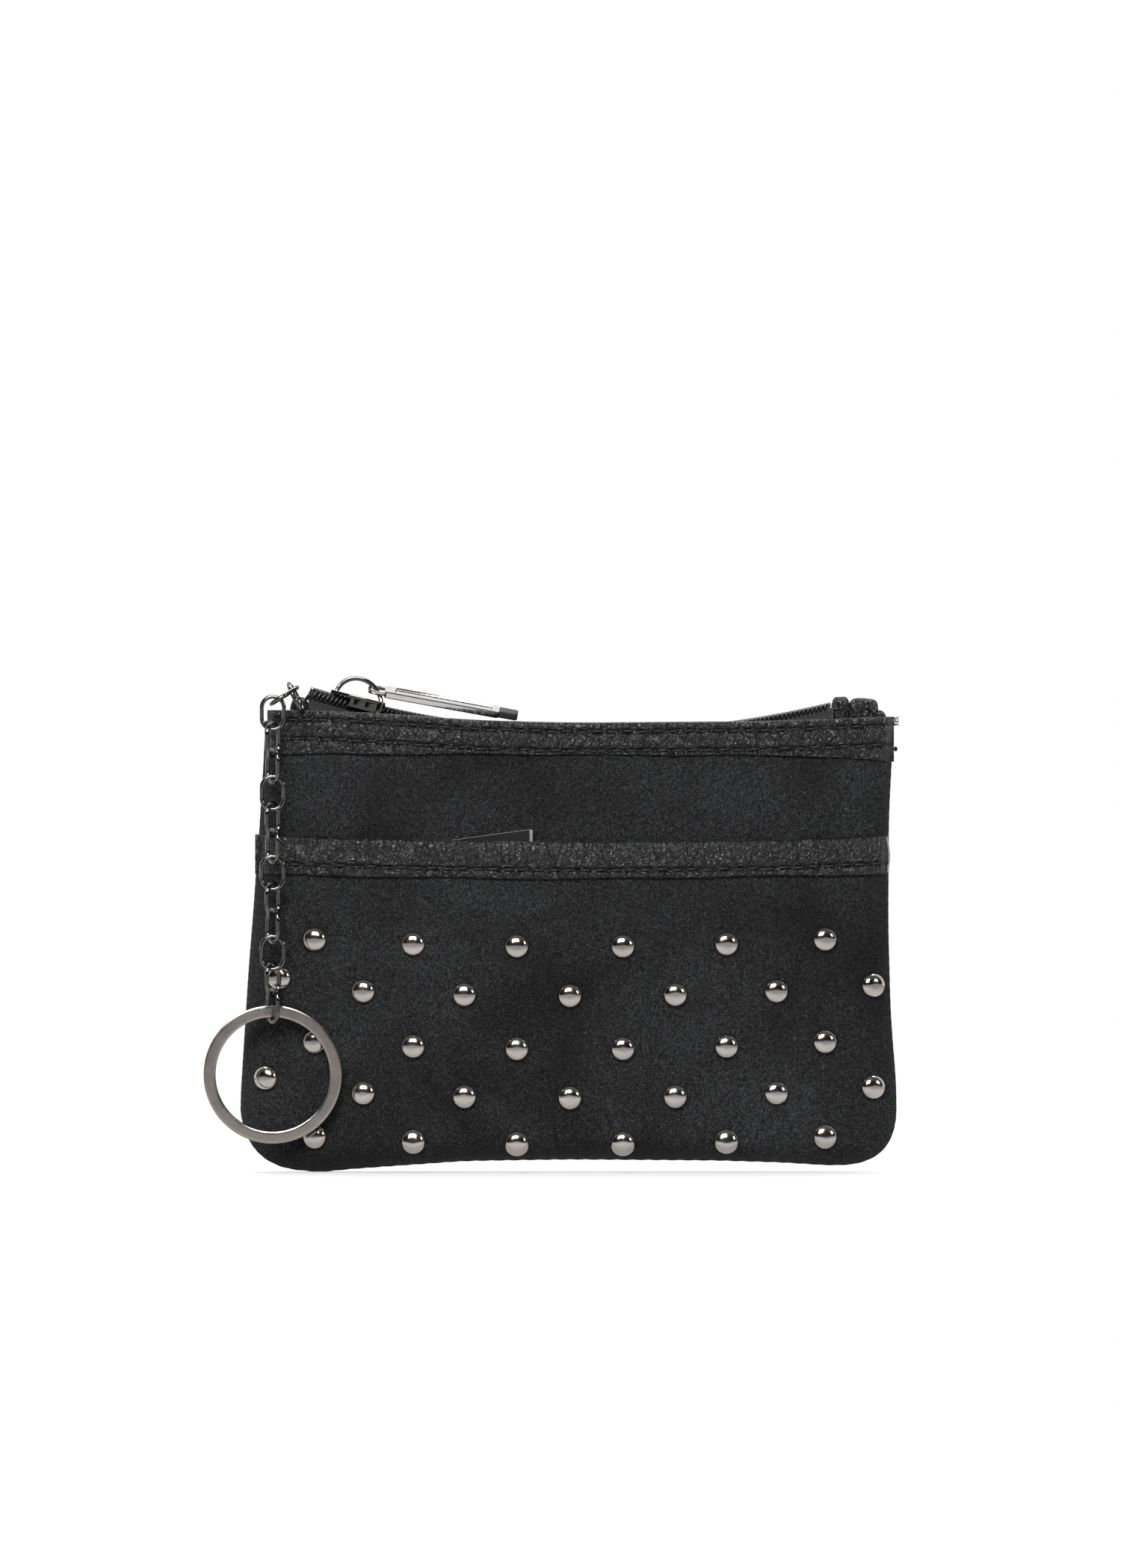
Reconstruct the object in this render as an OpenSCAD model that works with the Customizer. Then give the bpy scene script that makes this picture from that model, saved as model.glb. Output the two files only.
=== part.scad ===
// Chain wallet: a zipped coin purse with a studded front pocket, a hanging chain and a split key ring.
// Millimetres. X runs along the width, the front faces -Y, Z is up and the purse stands on Z = 0.

/* [Purse body] */
// Half width to the centre of the rounded side edges
side_x = 62; // [55:0.5:70]
// Radius of the rounded side edges
side_r = 4.6; // [3:0.1:6]
// Height of the leather panels
panel_top = 88; // [80:0.5:95]
// Height at which the purse is thickest
belly_z = 38; // [30:1:45]
// Depth of the back half at its thickest
back_depth = 7; // [6:0.2:9]
// Depth of the front half at its thickest, without the pocket
front_depth = 8; // [7:0.2:9.5]
// Depth of the front half at its thickest, over the pocket
pocket_depth = 10; // [9.6:0.2:12]
// Radius of the bulge seen from the side
side_bulge_r = 680; // [500:10:900]
// Thickness of the leather panels
leather = 1.2; // [0.8:0.1:1.6]
// Thickness of the cloth lining
lining = 0.4; // [0.3:0.05:0.6]
// Radius of the two lower corners
corner_r = 10; // [6:0.5:14]
// Radius along the bottom edges
base_r = 1.2; // [1:0.1:2.5]
// Lean of the left side, as the width lost at the top
left_lean = 2.6; // [0:0.1:4]

/* [Pocket and bindings] */
// Height of the pocket's edge
pocket_top = 67.6; // [60:0.2:72]
// Height of the leather band on the pocket's edge
pocket_band = 8.4; // [6:0.2:10]
// Height of the leather band along the mouth
top_band_low = 85.2; // [80:0.2:87]
// Lowest point of the mouth's edge
mouth_z = 91.7; // [90:0.1:94]
// Radius of the mouth's sagging edge
mouth_r = 1281; // [900:10:1600]
// Thickness of a leather band
band = 1.1; // [0.8:0.1:1.5]
// Distance from the middle of the mouth to the inside of each lip
lip_in = 4.3; // [4.2:0.1:4.6]

/* [Zip] */
// Radius of the arc that the zip hangs in
zip_r = 200; // [195:1:205]
// Height of the zip's lowest point
zip_z = 88.9; // [88.8:0.1:89.4]
// Place of the zip's lowest point in X
zip_x = 6; // [5.5:0.1:6.5]
// Angle of the slider to the left of the lowest point
slider_angle = 14.3; // [12:0.1:14.5]
// Angle at which the left end of the teeth lies
teeth_left = 16.7; // [16.4:0.1:16.8]
// Angle at which the right end of the teeth lies
teeth_right = 13.1; // [12.6:0.1:13.2]
// Angle between two teeth
teeth_step = 0.52; // [0.45:0.01:0.7]
// Half width of the gap between the two rows
teeth_gap = 0.8; // [0.7:0.05:1]
// Half width of the two rows together
teeth_half = 2.5; // [2:0.1:3]
// Length of the slider
slider_len = 11.6; // [10:0.2:13]
// Width of the slider
slider_w = 8; // [7:0.2:9]
// Length of the puller's bar
puller_len = 24; // [20:0.2:28]
// Width of the puller's bar
puller_w = 4.6; // [3:0.1:6]
// Angle that the puller stands up from the slider as it rests on the mouth
puller_lift = 4; // [3.6:0.1:10]
// Angle that the puller leans to the front
puller_roll = 18; // [0:1:18]

/* [Studs] */
// Radius of a stud
stud_r = 2.58; // [2:0.02:3.5]
// Height of a stud
stud_h = 1.8; // [1:0.1:2.5]
// Distance between two studs in a row
stud_pitch = 20.5; // [15:0.1:25]
// Height of the top row
stud_top = 46.6; // [40:0.1:50]
// Distance between two rows
row_pitch = 10.1; // [8:0.1:12]
// Rise of the outer studs of a row over its middle
stud_rise = 1.9; // [0:0.1:2.5]

/* [Chain] */
// Thickness of the chain's wire
wire = 0.9; // [0.7:0.05:1.2]
// Inner length of a link
link_in = 5.76; // [5.7:0.02:6.5]
// Outer width of a link
link_w = 5.4; // [4.5:0.1:6]
// Distance between two links that hang in each other
link_pitch = 5.4; // [5:0.02:6]
// Turn of each link from the one above
link_turn = 60; // [45:5:90]
// Place of the hanging chain in X
chain_x = -60.1; // [-64:0.1:-50]
// Place of the hanging chain in Y
chain_y = -9.7; // [-14:0.1:-8]
// Height of the middle of the first hanging link
chain_z = 93.6; // [90:0.1:96]
// Radius of the ring that holds the chain, at the middle of its wire
anchor_r = 3.28; // [3:0.02:4]

/* [Key ring] */
// Outer radius of the key ring
ring_r = 14; // [10:0.5:16]
// Width of the key ring's flat wire
ring_band = 2.4; // [1.5:0.1:3]
// Thickness of one turn of the key ring
ring_turn = 0.95; // [0.7:0.05:1.2]

/* [Hidden] */

suede = [0.10, 0.10, 0.105];
hide = [0.06, 0.06, 0.065];
cloth = [0.16, 0.16, 0.17];
nylon = [0.05, 0.05, 0.055];
metal = [0.45, 0.44, 0.43];

// Sizes that follow from the ones above
deep = 60;
high = 120;
link_r = (link_w - wire) / 2;
link_half = (link_in + wire) / 2;
link_play = link_in - link_pitch;
ring_play = 0.6;
plate_z = 2.05;
hook_z = chain_z + link_half - wire - link_play;
low_link = [chain_x, chain_y, hook_z];
high_link = low_link + [4.5, 3.8, 2.9];
link_dir = (high_link - low_link) / norm(high_link - low_link);
anchor_top = high_link - link_dir * 1.2;
anchor_low = [-54.6, -1.0, 95.2];
ring_top = chain_z - 11 * link_pitch - link_half + wire / 2 + ring_play;
ring_z = ring_top - (ring_r - ring_band);
pocket_r = bulge(pocket_depth);

$fa = 4;
$fs = 0.4;

// Radius of the long arc that gives a half of the purse its depth
function bulge(depth) = (side_x * side_x / (depth - side_r) + depth + side_r) / 2;

// Depth of the pocket's surface at a point
function pocket_y(x, z) = min(
    pocket_depth - x * x / (2 * pocket_r),
    pocket_depth - (z - belly_z) * (z - belly_z) / (2 * side_bulge_r));

// Point where a stud's foot stands, and the turns that stand it square on the leather
function steep(x, z) = x * x / pocket_r > (z - belly_z) * (z - belly_z) / side_bulge_r;

// The shape from above, set in by a depth
module plan(front, in) {
    intersection() {
        translate([0, bulge(front) - front]) circle(bulge(front) - in, $fn = 480);
        translate([0, back_depth - bulge(back_depth)]) circle(bulge(back_depth) - in, $fn = 480);
        square([2 * side_x, 4 * deep], center = true);
    }
    if (in < side_r - 0.1) {
        for (s = [-1, 1]) {
            translate([s * side_x, 0]) circle(side_r - in, $fn = 40);
        }
    }
}

// The shape from the side, set in by a depth
module profile(front, in) {
    foot = base_r - in;
    intersection() {
        translate([side_bulge_r - front, belly_z]) circle(side_bulge_r - in, $fn = 480);
        translate([back_depth - side_bulge_r, belly_z]) circle(side_bulge_r - in, $fn = 480);
        translate([-deep, foot > 0.3 ? base_r : in]) square([2 * deep, high]);
    }
    if (foot > 0.3) {
        low = (belly_z - base_r) * (belly_z - base_r) / (2 * side_bulge_r);
        y0 = low - front + base_r + 0.03;
        y1 = back_depth - low - base_r - 0.03;
        translate([y0, in]) square([y1 - y0, base_r - in + 0.2]);
        for (y = [y0, y1]) {
            translate([y, base_r]) circle(foot, $fn = 24);
        }
    }
}

// The shape from the front, set in by a depth
module outline(in) {
    edge = side_x + side_r - in;
    difference() {
        polygon([[-edge, in], [-edge, corner_r], [-edge + left_lean, high - 20], [-edge + left_lean, high],
            [edge, high], [edge, in]]);
        for (s = [-1, 1]) {
            translate([s * (side_x + side_r - corner_r), corner_r]) difference() {
                translate([s > 0 ? 0 : -20, -20]) square(20);
                circle(corner_r - in, $fn = 60);
            }
        }
    }
}

// The whole purse as one full shape, set in by a depth
module full(front, in) {
    intersection() {
        linear_extrude(high) plan(front, in);
        rotate([90, 0, 90]) linear_extrude(200, center = true) profile(front, in);
        rotate([90, 0, 0]) linear_extrude(2 * deep, center = true) outline(in);
    }
}

// A skin of the purse between two depths
module skin(front, outer, inner) {
    difference() {
        full(front, outer);
        full(front, inner);
    }
}

// A box from one corner to the other
module block(low, top) {
    translate(low) cube(top - low);
}

// Everything over the mouth's sagging edge
module over_mouth() {
    translate([0, 0, mouth_z + mouth_r]) rotate([90, 0, 0])
        cylinder(h = 2 * deep, r = mouth_r, center = true, $fn = 1440);
}

// Moves from the middle of the zip's arc to a place along it
module along_zip(angle) {
    translate([zip_x, 0, zip_z + zip_r]) rotate([0, angle, 0]) translate([0, 0, -zip_r]) children();
}

// A strip that follows the zip's arc, as wide and high as its outline
module zip_strip(from, to) {
    translate([zip_x, 0, zip_z + zip_r]) rotate([90, 0, 0]) rotate([0, 0, -90 - to])
        rotate_extrude(angle = to - from, $fn = 720) translate([zip_r, 0]) children();
}

// Stands its children at one place with their Z along a line to another
module aim(from, to, roll) {
    d = to - from;
    translate(from) rotate([0, acos(d[2] / norm(d)), atan2(d[1], d[0])]) rotate([0, 0, roll]) children();
}

// Panels

module pocket_panel() {
    color(suede) difference() {
        intersection() {
            skin(pocket_depth, 0, leather);
            block([-80, -30, -1], [80, 0, pocket_top - 0.8]);
        }
        for (row = [0 : 4]) {
            stud_row(row) cylinder(h = 5, r = 0.75, center = true, $fn = 16);
        }
        pocket_band_space();
    }
}

module front_panel() {
    color(suede) intersection() {
        skin(front_depth, leather, 2 * leather);
        block([-80, -30, 0], [80, 2.5, panel_top]);
    }
}

module back_panel() {
    color(suede) intersection() {
        skin(pocket_depth, 0, leather);
        block([-80, 0, -1], [80, 30, panel_top]);
    }
}

// Linings

module lining_front() {
    color(cloth) intersection() {
        skin(front_depth, 2 * leather, 2 * leather + lining);
        block([-80, -30, 0], [80, 0, panel_top - 0.5]);
    }
}

module lining_back() {
    color(cloth) intersection() {
        skin(front_depth, leather, leather + lining);
        block([-80, 2.6, 0], [80, 30, panel_top - 0.5]);
    }
}

module pocket_lining() {
    color(cloth) intersection() {
        skin(pocket_depth, leather, leather + lining);
        block([-55, -30, 6], [55, -4, pocket_top - pocket_band]);
    }
}

// Bindings

module top_binding_front() {
    color(hide) difference() {
        intersection() {
            full(front_depth, leather - band);
            block([-80, -30, top_band_low], [80, 0, 99]);
        }
        over_mouth();
        block([-80, -lip_in, panel_top], [80, 30, 99]);
        intersection() {
            full(front_depth, leather);
            block([-80, -30, 80], [80, 30, panel_top + 0.1]);
        }
    }
}

module top_binding_back() {
    color(hide) difference() {
        intersection() {
            full(pocket_depth, -band);
            block([-80, 0, top_band_low], [80, 30, 99]);
        }
        over_mouth();
        block([-80, -30, panel_top], [80, lip_in, 99]);
        intersection() {
            full(pocket_depth, 0);
            block([-80, -30, 80], [80, 30, panel_top + 0.1]);
        }
    }
}

module pocket_band_space() {
    intersection() {
        skin(pocket_depth, -0.5, 0.5 * leather);
        block([-80, -30, pocket_top - pocket_band], [80, 0, pocket_top + 1]);
    }
}

module pocket_binding() {
    color(hide) intersection() {
        skin(pocket_depth, 0.5 * leather - band, 0.5 * leather);
        block([-80, -30, pocket_top - pocket_band], [80, 0, pocket_top]);
    }
}

module label_tab() {
    color(nylon) translate([0, leather - front_depth, 0]) rotate([90, 0, 0]) linear_extrude(0.4)
        polygon([[-26.8, 58], [-26.8, 67.4], [-8.6, 69.8], [-7.7, 69.4], [-7.7, 58]]);
}

// Zip

module zip_tape(s) {
    zip_strip(-teeth_right - 0.6, teeth_left - 0.3) {
        translate([-0.3, s * 1.9 - 0.5]) square([0.6, 1]);
        translate([-0.3, s * 2.1 - 0.3]) square([7.5, 0.6]);
    }
    translate([-52, s > 0 ? -2.8 : 1.8, 84]) cube([104, 1, 4.5]);
}

module zip_tape_front() {
    color(nylon) zip_tape(1);
}

module zip_tape_back() {
    color(nylon) zip_tape(-1);
}

module zip_coil(s) {
    steps = floor((teeth_left + teeth_right) / teeth_step);
    zip_strip(-teeth_right, teeth_left) {
        translate([-1.1, min(s * 1.4, s * teeth_half)]) square([0.8, teeth_half - 1.4]);
    }
    for (n = [0 : steps - 1]) {
        along_zip((n + 0.5 + 0.25 * s) * teeth_step - teeth_right)
            translate([-0.5, min(-s * teeth_gap, -s * (teeth_half - 0.15)), 0.35])
                cube([1, teeth_half - 0.15 - teeth_gap, 0.9]);
    }
}

module zip_coil_front() {
    color(nylon) zip_coil(1);
}

module zip_coil_back() {
    color(nylon) zip_coil(-1);
}

module zip_stops() {
    color(metal) for (a = [-teeth_right - 0.3, teeth_left + 0.3]) {
        along_zip(a) translate([-0.5, -1.3, 0.3]) cube([1, 2.6, 1.4]);
    }
}

// The leather that closes the right end of the zip, in two rounded lobes
module zip_end_shape() {
    translate([54.9, 90.5]) square([7, 4.2]);
    translate([55.2, 94.4]) circle(1.9, $fn = 32);
    translate([59.9, 93.6]) circle(2.8, $fn = 40);
    translate([61.4, 92.9]) square([3, 1.2]);
}

module zip_end_tab() {
    color(hide) rotate([90, 0, 0]) linear_extrude(2.8, center = true) zip_end_shape();
}

module chain_tab() {
    color(hide) difference() {
        union() {
            block([-57, -1.4, 86], [-53, 1.4, 95]);
            translate([-55, 0, 95]) rotate([90, 0, 0]) cylinder(h = 2.8, r = 2, center = true, $fn = 36);
        }
        anchor(0.75);
    }
}

// Hardware

module stud() {
    ball = (stud_r * stud_r + stud_h * stud_h) / (2 * stud_h);
    intersection() {
        translate([0, 0, stud_h - ball]) sphere(ball, $fn = 24);
        cylinder(h = stud_h, r = stud_r, $fn = 24);
    }
    translate([0, 0, -0.9]) cylinder(h = 1, r = 0.7, $fn = 16);
}

// Places its children at each stud of a row, square on the leather
module stud_row(row) {
    count = 6 + row % 2;
    for (n = [0 : count - 1]) {
        x = (n - (count - 1) / 2) * stud_pitch;
        z = stud_top - row * row_pitch + stud_rise * (x * x / 3600 - 0.4);
        lean = steep(x, z) ? [0, 0, asin(x / pocket_r)] : [asin((belly_z - z) / side_bulge_r), 0, 0];
        translate([x, -pocket_y(x, z) - 0.02, z]) rotate(lean) rotate([90, 0, 0]) children();
    }
}

module studs_row_1() {
    color(metal) stud_row(0) stud();
}

module studs_row_2() {
    color(metal) stud_row(1) stud();
}

module studs_row_3() {
    color(metal) stud_row(2) stud();
}

module studs_row_4() {
    color(metal) stud_row(3) stud();
}

module studs_row_5() {
    color(metal) stud_row(4) stud();
}

module slider_plate(z, thick) {
    translate([0, 0, z]) linear_extrude(thick) intersection() {
        square([slider_len, slider_w], center = true);
        translate([1, 0]) circle(slider_len / 2 + 0.9, $fn = 48);
    }
}

module slider_body() {
    color(metal) along_zip(slider_angle) {
        difference() {
            slider_plate(plate_z - 0.7, 0.7);
            block([1.2, -2.1, plate_z - 0.3], [4.3, 2.1, plate_z + 1]);
        }
        translate([-slider_len / 2 + 0.3, -1.2, -1.6]) cube([slider_len - 2, 2.4, 0.9]);
        translate([-slider_len / 2 + 0.9, 0, -1]) cylinder(h = 3, r = 0.45, $fn = 20);
        for (s = [-1, 1]) {
            translate([1.8, s * (slider_w / 2 - 0.5), 0.6]) cube([6.8, 1, 2.4], center = true);
        }
    }
}

module slider_bridge() {
    color(metal) along_zip(slider_angle) translate([0.2, 0, plate_z]) rotate([90, 0, 0])
        linear_extrude(1.8, center = true) difference() {
            intersection() {
                translate([0, -1.3]) circle(5.2, $fn = 64);
                translate([-8, 0]) square([16, 8]);
            }
            translate([0, -1.3]) circle(4.5, $fn = 64);
        }
}

module puller_at() {
    along_zip(slider_angle) translate([3.4, 0, 4.2]) rotate([0, -puller_lift, 0]) rotate([puller_roll, 0, 0]) children();
}

module puller_bar() {
    color(metal) puller_at() difference() {
        union() {
            translate([2, -puller_w / 2, -0.7]) cube([puller_len - 0.8, puller_w, 1.4]);
            intersection() {
                cylinder(h = 0.8, r = 2.6, center = true, $fn = 40);
                block([-2.2, -3, -1], [3, 3, 1]);
            }
        }
        block([-1.75, -1.5, -1], [1.5, 1.5, 1]);
        translate([4.5, -puller_w / 2 + 0.9, 0.4]) cube([puller_len - 5.5, puller_w - 1.8, 1]);
    }
}

module puller_tip() {
    color(hide) puller_at() translate([1.2 + puller_len, -1.5, -0.75]) cube([3.8, 3, 1.5]);
}

// Chain

// A wire bent into a link, standing on its end
module chain_link() {
    for (s = [-1, 1]) {
        translate([s * link_r, 0, 0]) cylinder(h = 2 * (link_half - link_r), r = wire / 2, center = true, $fn = 14);
    }
    for (turn = [0, 180]) {
        rotate([0, turn, 0]) translate([0, 0, link_half - link_r]) rotate([90, 0, 0])
            rotate_extrude(angle = 180, $fn = 24) translate([link_r, 0]) circle(wire / 2, $fn = 14);
    }
}

module hanging(n) {
    color(metal) translate([chain_x, chain_y, chain_z - n * link_pitch]) rotate([0, 0, n * link_turn])
        chain_link();
}

module anchor(r) {
    aim(anchor_low, anchor_top, 30) translate([0, 0, anchor_r]) rotate([90, 0, 0])
        rotate_extrude($fn = 40) translate([anchor_r, 0]) circle(r, $fn = 16);
}

module anchor_ring() {
    color(metal) anchor(0.5);
}

module link_01() {
    color(metal) aim(low_link, high_link, 69.5) translate([0, 0, link_half]) chain_link();
}

module link_02() {
    hanging(0);
}

module link_03() {
    hanging(1);
}

module link_04() {
    hanging(2);
}

module link_05() {
    hanging(3);
}

module link_06() {
    hanging(4);
}

module link_07() {
    hanging(5);
}

module link_08() {
    hanging(6);
}

module link_09() {
    hanging(7);
}

module link_10() {
    hanging(8);
}

module link_11() {
    hanging(9);
}

module link_12() {
    hanging(10);
}

module link_13() {
    hanging(11);
}

// Two flat turns of spring wire: each turn's end leaves a short step, and a groove parts the turns
module key_ring() {
    mid = ring_r - ring_band / 2;
    color(metal) translate([chain_x, chain_y, ring_z]) rotate([90, 0, 0]) difference() {
        rotate_extrude($fn = 120) translate([ring_r - ring_band, -ring_turn]) square([ring_band, 2 * ring_turn]);
        rotate_extrude($fn = 120) polygon([[ring_r - 0.3, 0], [ring_r + 1, -0.4], [ring_r + 1, 0.4]]);
        rotate([0, 0, 62]) translate([mid, 0, ring_turn]) cube([2 * ring_band, 1.4, 1.4 * ring_turn], center = true);
        rotate([0, 0, 80]) translate([mid, 0, -ring_turn]) cube([2 * ring_band, 1.4, 1.4 * ring_turn], center = true);
    }
}

pocket_panel();
front_panel();
back_panel();
lining_front();
lining_back();
pocket_lining();
top_binding_front();
top_binding_back();
pocket_binding();
label_tab();
zip_tape_front();
zip_tape_back();
zip_coil_front();
zip_coil_back();
zip_stops();
zip_end_tab();
chain_tab();
studs_row_1();
studs_row_2();
studs_row_3();
studs_row_4();
studs_row_5();
slider_body();
slider_bridge();
puller_bar();
puller_tip();
anchor_ring();
link_01();
link_02();
link_03();
link_04();
link_05();
link_06();
link_07();
link_08();
link_09();
link_10();
link_11();
link_12();
link_13();
key_ring();
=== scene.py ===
import math

import bmesh
import bpy
import numpy as np
from mathutils import Matrix


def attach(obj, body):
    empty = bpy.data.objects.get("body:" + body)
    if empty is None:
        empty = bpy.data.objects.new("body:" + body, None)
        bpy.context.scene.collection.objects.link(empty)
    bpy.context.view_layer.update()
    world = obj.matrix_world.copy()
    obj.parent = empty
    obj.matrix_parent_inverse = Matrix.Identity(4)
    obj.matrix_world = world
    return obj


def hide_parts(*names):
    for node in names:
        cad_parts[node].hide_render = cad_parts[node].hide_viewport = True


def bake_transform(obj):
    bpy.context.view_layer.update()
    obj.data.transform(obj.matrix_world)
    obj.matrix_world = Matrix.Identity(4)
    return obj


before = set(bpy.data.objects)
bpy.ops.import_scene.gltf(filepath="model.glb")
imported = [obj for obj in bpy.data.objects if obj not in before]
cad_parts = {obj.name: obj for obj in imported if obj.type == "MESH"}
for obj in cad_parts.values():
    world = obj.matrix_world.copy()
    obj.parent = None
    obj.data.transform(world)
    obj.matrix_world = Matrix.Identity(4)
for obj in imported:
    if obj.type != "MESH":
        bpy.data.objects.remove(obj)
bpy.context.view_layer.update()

MM = 0.001
PI = math.pi

# ---------------------------------------------------------------- sizes in millimetres, angles in degrees
SIDE_X = 62.0
SIDE_R = 4.6
BELLY_Z = 38.0
SIDE_BULGE = 680.0
POCKET_DEPTH = 10.0
FRONT_DEPTH = 6.8
BACK_DEPTH = 7.0
ZIP_R = 200.0
ZIP_X = 6.0
ZIP_Z = 88.9
ZIP_ENDS = (-13.6, 17.2)
SLIDER_ANGLE = 14.3
PULLER_LIFT = 4.0
PULLER_ROLL = 18.0
CHAIN_X = -60.1
CHAIN_Y = -9.7
CHAIN_Z = 93.6
PITCH = 5.4
LINK_HALF = 3.33
LINK_PLAY = 0.36
LINK_R = 2.25
WIRE = 0.9
RING_Z = 20.32
RING_MID_R = 12.8
RING_FLAT = (2.4, 0.9)
RING_TURN = 0.96
HOLD_R = 3.28
COIL_HALF = 0.62
LEATHER = 1.2
LINING = 0.35
STITCH = 3.1
STUD_R = 2.58
STUD_H = 1.6
STUD_STEP_X = 20.5
STUD_STEP_Z = 10.1
STUD_TOP_Z = 46.6


# ---------------------------------------------------------------- camera, light and floor
def make_camera():
    """A camera straight in front; the picture covers seen_height at the pocket's face."""
    data = bpy.data.cameras.new("camera")
    data.sensor_fit = "VERTICAL"
    data.sensor_height = 24
    distance = 1.6
    face_depth = 0.009
    seen_height = 0.318
    data.lens = data.sensor_height * (distance - face_depth) / seen_height
    data.clip_end = 20
    camera = bpy.data.objects.new("camera", data)
    camera.location = (-0.0018, -distance, 0.0792)
    camera.rotation_euler = (PI / 2, 0, 0)
    bpy.context.collection.objects.link(camera)
    bpy.context.scene.camera = camera


def area_light(name, place, target, size, power):
    data = bpy.data.lights.new(name, "AREA")
    data.shape = "RECTANGLE"
    data.size, data.size_y = size
    data.energy = power
    light = bpy.data.objects.new(name, data)
    light.location = place
    aim = Matrix.Translation(place).to_translation() - Matrix.Translation(target).to_translation()
    light.rotation_euler = aim.to_track_quat("Z", "Y").to_euler()
    bpy.context.collection.objects.link(light)


class Nodes:
    """A short way to write a node tree."""

    def __init__(self, tree):
        self.tree = tree
        tree.nodes.clear()

    def add(self, kind, inputs=None, **props):
        node = self.tree.nodes.new(kind)
        for key, value in props.items():
            setattr(node, key, value)
        for key, value in (inputs or {}).items():
            if isinstance(value, bpy.types.NodeSocket):
                self.tree.links.new(value, node.inputs[key])
            else:
                node.inputs[key].default_value = value
        return node


def make_world():
    """A studio that lights the metal in bands, and that the camera sees as plain white."""
    world = bpy.data.worlds.new("studio")
    bpy.context.scene.world = world
    world.use_nodes = True
    n = Nodes(world.node_tree)
    where = n.add("ShaderNodeTexCoord")
    split = n.add("ShaderNodeSeparateXYZ", {0: where.outputs["Generated"]})
    low = n.add("ShaderNodeMapRange", {"Value": split.outputs["Z"], "From Min": 0.02, "From Max": 0.07,
                                       "To Min": 0.5, "To Max": 0.012})
    high = n.add("ShaderNodeMapRange", {"Value": split.outputs["Z"], "From Min": 0.45, "From Max": 0.75,
                                        "To Min": 0.0, "To Max": 0.12})
    back = n.add("ShaderNodeMapRange", {"Value": split.outputs["Y"], "From Min": -0.1, "From Max": 0.35,
                                        "To Min": 0.0, "To Max": 1.0})
    some = n.add("ShaderNodeMath", {0: low.outputs[0], 1: high.outputs[0]}, operation="ADD")
    total = n.add("ShaderNodeMath", {0: some.outputs[0], 1: back.outputs[0]}, operation="ADD")
    studio = n.add("ShaderNodeBackground", {"Color": (1, 1, 1, 1), "Strength": total.outputs[0]})
    paper = n.add("ShaderNodeBackground", {"Color": (1, 1, 1, 1), "Strength": 1.0})
    ray = n.add("ShaderNodeLightPath")
    mix = n.add("ShaderNodeMixShader", {0: ray.outputs["Is Camera Ray"], 1: studio.outputs[0],
                                        2: paper.outputs[0]})
    n.add("ShaderNodeOutputWorld", {"Surface": mix.outputs[0]})


def make_floor():
    """A sheet of pale paper that takes a soft shadow close to the purse and fades to white further out."""
    data = bpy.data.meshes.new("floor")
    half = 3.0
    corners = [(-half, -half, 0), (half, -half, 0), (half, half, 0), (-half, half, 0)]
    data.from_pydata(corners, [], [(0, 1, 2, 3)])
    floor = bpy.data.objects.new("floor", data)
    bpy.context.collection.objects.link(floor)
    mat = bpy.data.materials.new("paper")
    mat.use_nodes = True
    n = Nodes(mat.node_tree)
    where = n.add("ShaderNodeTexCoord")
    far = n.add("ShaderNodeVectorMath", {0: where.outputs["Object"]}, operation="LENGTH")
    fade = n.add("ShaderNodeMapRange", {"Value": far.outputs["Value"], "From Min": 0.05, "From Max": 0.3,
                                        "To Min": 0.6, "To Max": 1.0})
    plain = n.add("ShaderNodeBsdfDiffuse", {"Color": (0.9, 0.9, 0.9, 1)})
    ray = n.add("ShaderNodeLightPath")
    seen = n.add("ShaderNodeMapRange", {"Value": ray.outputs["Is Camera Ray"],
                                        "To Min": 0.5, "To Max": 1.0})
    glow = n.add("ShaderNodeEmission", {"Color": (1, 1, 1, 1), "Strength": seen.outputs[0]})
    mix = n.add("ShaderNodeMixShader", {0: fade.outputs[0], 1: plain.outputs[0], 2: glow.outputs[0]})
    n.add("ShaderNodeOutputMaterial", {"Surface": mix.outputs[0]})
    data.materials.append(mat)


bpy.context.scene.view_settings.view_transform = "Standard"
make_camera()
make_world()
make_floor()
area_light("key", (-0.2, -1.0, 0.72), (0, 0, 0.05), (0.66, 0.5), 18)
area_light("fill", (1.0, -0.7, 0.5), (0, 0, 0.05), (0.3, 0.3), 2.5)
area_light("top", (0.0, 0.2, 1.1), (0, 0, 0.05), (0.9, 0.3), 10)


# ---------------------------------------------------------------- materials
def surface(name, color, rough, metallic=0.0, **more):
    """A material with one Principled shader, and the node tree that its detail is added to."""
    mat = bpy.data.materials.new(name)
    mat.use_nodes = True
    n = Nodes(mat.node_tree)
    shader = n.add("ShaderNodeBsdfPrincipled", {"Roughness": rough, "Metallic": metallic,
                                                "Base Color": (*color, 1), **more})
    n.add("ShaderNodeOutputMaterial", {"Surface": shader.outputs[0]})
    n.where = n.add("ShaderNodeTexCoord").outputs["Object"]
    n.shader = shader
    return mat, n


def noise(n, scale, detail=3.0, rough=0.5, distort=0.0, at=None):
    return n.add("ShaderNodeTexNoise", {"Vector": at or n.where, "Scale": scale, "Detail": detail,
                                        "Roughness": rough, "Distortion": distort}).outputs["Fac"]


def ramp(n, value, low, high, to_low=0.0, to_high=1.0):
    """Turns the range low to high into to_low to to_high, and keeps within it."""
    return n.add("ShaderNodeMapRange", {"Value": value, "From Min": low, "From Max": high,
                                        "To Min": to_low, "To Max": to_high}).outputs[0]


def maths(n, how, a, b):
    return n.add("ShaderNodeMath", {0: a, 1: b}, operation=how).outputs[0]


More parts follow.
